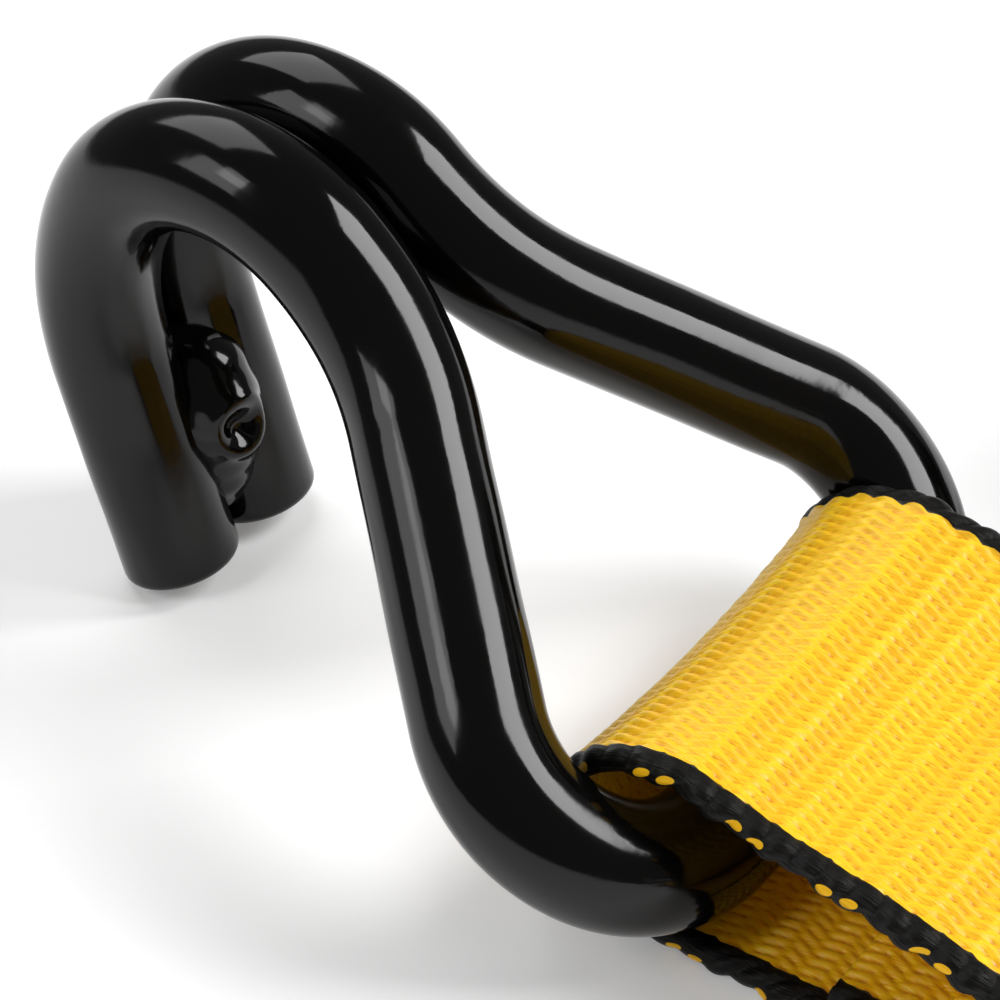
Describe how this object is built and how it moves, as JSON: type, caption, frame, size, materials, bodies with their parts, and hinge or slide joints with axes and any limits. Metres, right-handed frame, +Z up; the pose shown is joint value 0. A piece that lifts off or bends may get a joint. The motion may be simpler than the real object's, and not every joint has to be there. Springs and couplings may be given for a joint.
{
  "type": "ratchet tie down",
  "caption": "Ratchet tie down: black double-J wire hook in a sewn yellow webbing strap with black edges, a ratchet buckle, and a long rolled strap with a matching hook.",
  "frame": {"origin": "centre of the footprint, on the ground plane", "axes": "+Z up, -X the way the hooks point, +Y from the ratchet towards the rolled strap"},
  "size_m": [0.5209, 0.1771, 0.136],
  "materials": {
    "hook_coat": "glossy black thick coat",
    "yellow_webbing": "woven polyester webbing, black selvedges",
    "thread": "lockstitch thread",
    "zinc_steel": "bright zinc plate",
    "gear_steel": "yellow zinc plate",
    "fastener_steel": "zinc plate",
    "spring_steel": "spring wire",
    "grip_rubber": "ribbed rubber"
  },
  "bodies": {
    "frame": {"frame_side_left": "zinc_steel", "frame_side_right": "zinc_steel", "frame_base_plate": "zinc_steel", "lock_pawl_bracket": "zinc_steel", "strap_bolt": "fastener_steel", "strap_bolt_nut": "fastener_steel", "strap_bolt_sleeve": "zinc_steel", "lock_pawl_spring": "spring_steel"},
    "short_strap": {"short_strap": "yellow_webbing", "short_strap_stitching": "thread"},
    "hook_1": {"hook_1": "hook_coat", "hook_1_weld": "hook_coat"},
    "lock_pawl": {"lock_pawl": "gear_steel"},
    "spool": {"spool_half_upper": "zinc_steel", "spool_half_lower": "zinc_steel", "ratchet_gear_left": "gear_steel", "ratchet_gear_right": "gear_steel", "spool_washers": "zinc_steel", "cotter_pins": "fastener_steel"},
    "handle": {"handle_side_left": "zinc_steel", "handle_side_right": "zinc_steel", "drive_pawl_bracket": "zinc_steel", "handle_rod": "fastener_steel", "grip_rod": "fastener_steel", "handle_grip": "grip_rubber", "drive_pawl_spring": "spring_steel"},
    "drive_pawl": {"drive_pawl": "gear_steel"},
    "long_strap": {"long_strap": "yellow_webbing", "long_strap_stitching": "thread"},
    "hook_2": {"hook_2": "hook_coat", "hook_2_weld": "hook_coat"}
  },
  "joints": [
    {"name": "strap_swing", "type": "hinge", "parent": "frame", "child": "short_strap", "pos_m": [0.05847, -0.04455, 0.0098], "axis": [0, 1, 0], "range_deg": [0, 25]},
    {"name": "hook_1_swing", "type": "hinge", "parent": "short_strap", "child": "hook_1", "pos_m": [-0.16953, -0.04455, 0.0094], "axis": [0, 1, 0], "range_deg": [0, 70]},
    {"name": "spool_spin", "type": "hinge", "parent": "frame", "child": "spool", "pos_m": [0.13048, -0.04455, 0.033], "axis": [0, -1, 0], "continuous": true},
    {"name": "handle_swing", "type": "hinge", "parent": "frame", "child": "handle", "pos_m": [0.13048, -0.04455, 0.033], "axis": [0, -1, 0], "range_deg": [0, 180]},
    {"name": "drive_pawl_slide", "type": "slide", "parent": "handle", "child": "drive_pawl", "axis": [-1, 0, 0], "range_m": [0, 0.0055], "deforming": ["drive_pawl_spring"]},
    {"name": "lock_pawl_slide", "type": "slide", "parent": "frame", "child": "lock_pawl", "axis": [0.866, 0, 0.5], "range_m": [0, 0.0055], "deforming": ["lock_pawl_spring"]},
    {"name": "long_strap_lift", "type": "slide", "parent": "frame", "child": "long_strap", "axis": [0, 0, 1], "range_m": [0, 0.2]},
    {"name": "hook_2_swing", "type": "hinge", "parent": "long_strap", "child": "hook_2", "pos_m": [-0.05752, 0.05045, 0.0094], "axis": [0, 1, 0], "range_deg": [0, 70]}
  ]
}
